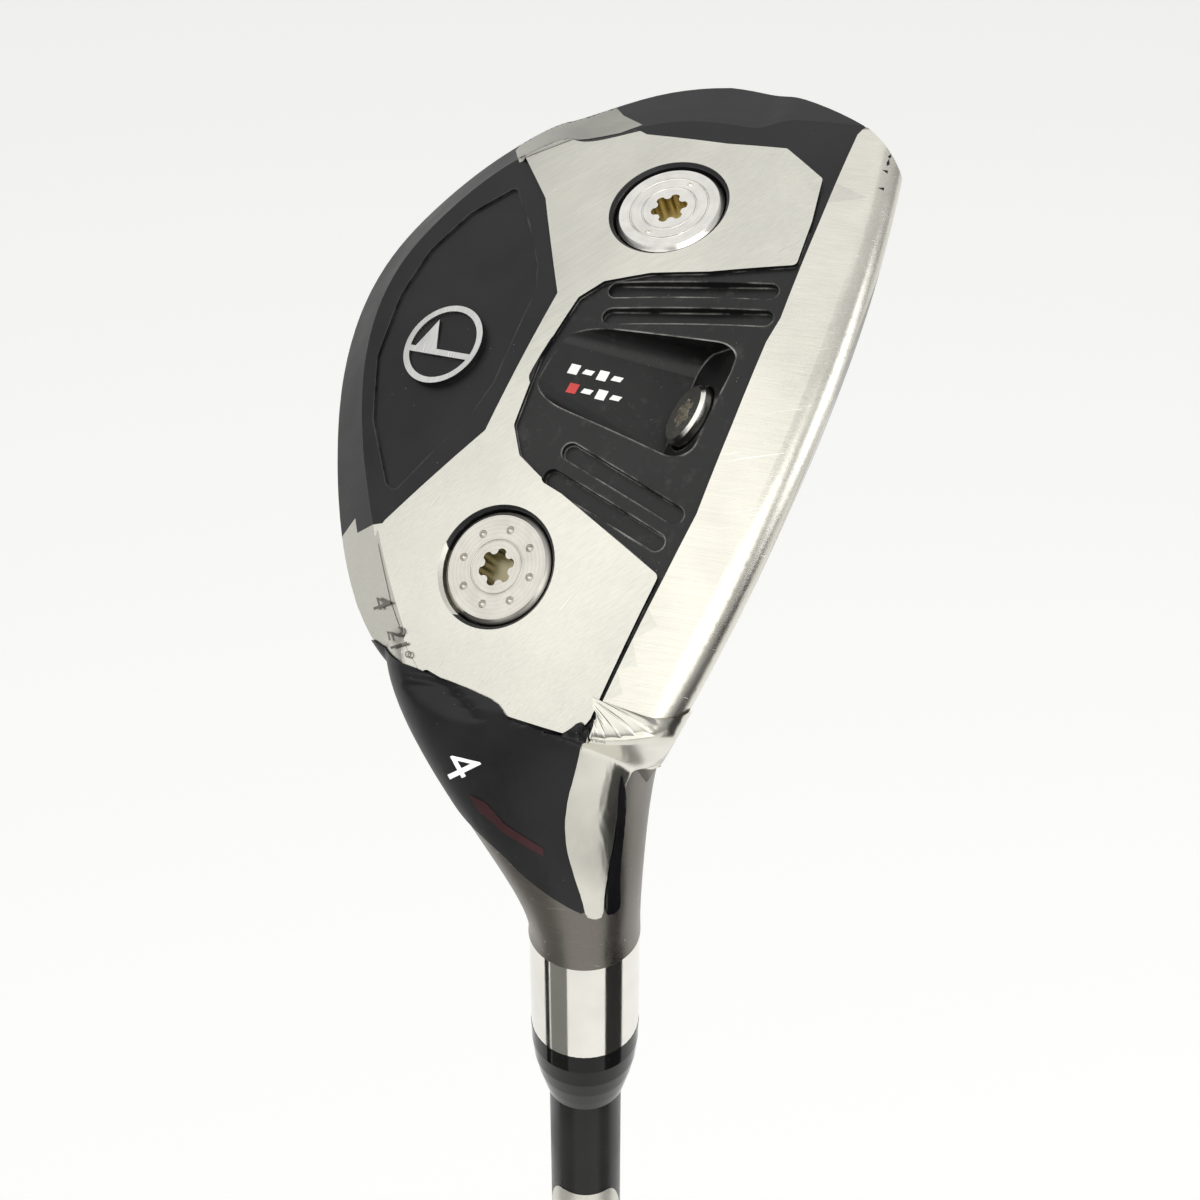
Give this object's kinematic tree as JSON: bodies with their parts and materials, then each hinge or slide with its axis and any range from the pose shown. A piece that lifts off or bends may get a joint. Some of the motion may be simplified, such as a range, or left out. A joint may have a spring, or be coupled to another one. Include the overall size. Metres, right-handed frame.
{
  "type": "hybrid golf club",
  "caption": "Hybrid golf club: hollow steel head with screwed sole weights and a core screw, bonded to a tapered black shaft with a rubber grip.",
  "frame": {"origin": "centre of the grip's butt end", "axes": "+Z along the shaft axis from the butt towards the head, +X to the toe, -Y out of the face side"},
  "size_m": [0.0964, 0.0679, 1.0351],
  "materials": {
    "head_body": "satin",
    "face_plate": "fine blasted",
    "crown_plate": "satin black",
    "sole_badge": "satin",
    "badge_tape": "foam tape",
    "catch_glue": "tacky",
    "ferrule": "polished",
    "shaft": "lacquered carbon",
    "shaft_epoxy": "cured",
    "tip_plug": "turned",
    "grip_tape": "paper",
    "grip_sleeve": "moulded",
    "heel_seal": "moulded",
    "heel_weight": "turned",
    "heel_slug": "sintered",
    "toe_seal": "moulded",
    "toe_weight": "turned",
    "toe_slug": "sintered",
    "core_carrier": "turned",
    "core_puck": "cast",
    "core_seal": "moulded",
    "core_screw": "plated"
  },
  "bodies": {
    "club": {"head_body": "head_body", "face_plate": "face_plate", "crown_plate": "crown_plate", "sole_badge": "sole_badge", "badge_tape": "badge_tape", "catch_glue": "catch_glue", "ferrule": "ferrule", "shaft": "shaft", "shaft_epoxy": "shaft_epoxy", "tip_plug": "tip_plug", "grip_tape": "grip_tape", "grip_sleeve": "grip_sleeve"},
    "heel_ring": {"heel_seal": "heel_seal"},
    "heel_disc": {"heel_weight": "heel_weight", "heel_slug": "heel_slug"},
    "toe_ring": {"toe_seal": "toe_seal"},
    "toe_disc": {"toe_weight": "toe_weight", "toe_slug": "toe_slug"},
    "core_push": {"core_carrier": "core_carrier", "core_puck": "core_puck", "core_seal": "core_seal"},
    "core_turn": {"core_screw": "core_screw"}
  },
  "joints": [
    {"name": "heel_lift", "type": "slide", "parent": "club", "child": "heel_ring", "axis": [-0.6273, 0.1348, 0.767], "range_m": [0, 0.006]},
    {"name": "heel_unscrew", "type": "hinge", "parent": "heel_ring", "child": "heel_disc", "pos_m": [0.0088, 0.016, 1.00486], "axis": [-0.6273, 0.1348, 0.767], "range_deg": [0, 2165]},
    {"name": "toe_lift", "type": "slide", "parent": "club", "child": "toe_ring", "axis": [-0.306, 0.1304, 0.9431], "range_m": [0, 0.006]},
    {"name": "toe_unscrew", "type": "hinge", "parent": "toe_ring", "child": "toe_disc", "pos_m": [0.05317, 0.0156, 1.02906], "axis": [-0.306, 0.1304, 0.9431], "range_deg": [0, 2165]},
    {"name": "core_retreat", "type": "slide", "parent": "club", "child": "core_push", "axis": [-0.3446, 0.7431, 0.5736], "range_m": [0, 0.0014]},
    {"name": "core_unscrew", "type": "hinge", "parent": "core_push", "child": "core_turn", "pos_m": [0.03132, 0.0016, 1.01611], "axis": [-0.3446, 0.7431, 0.5736], "range_deg": [0, 725]}
  ],
  "couplings": [
    {"joint": "heel_unscrew", "follows": "heel_lift", "rad_per_m": 6283.2},
    {"joint": "toe_unscrew", "follows": "toe_lift", "rad_per_m": 6283.2},
    {"joint": "core_unscrew", "follows": "core_retreat", "rad_per_m": 8976}
  ]
}
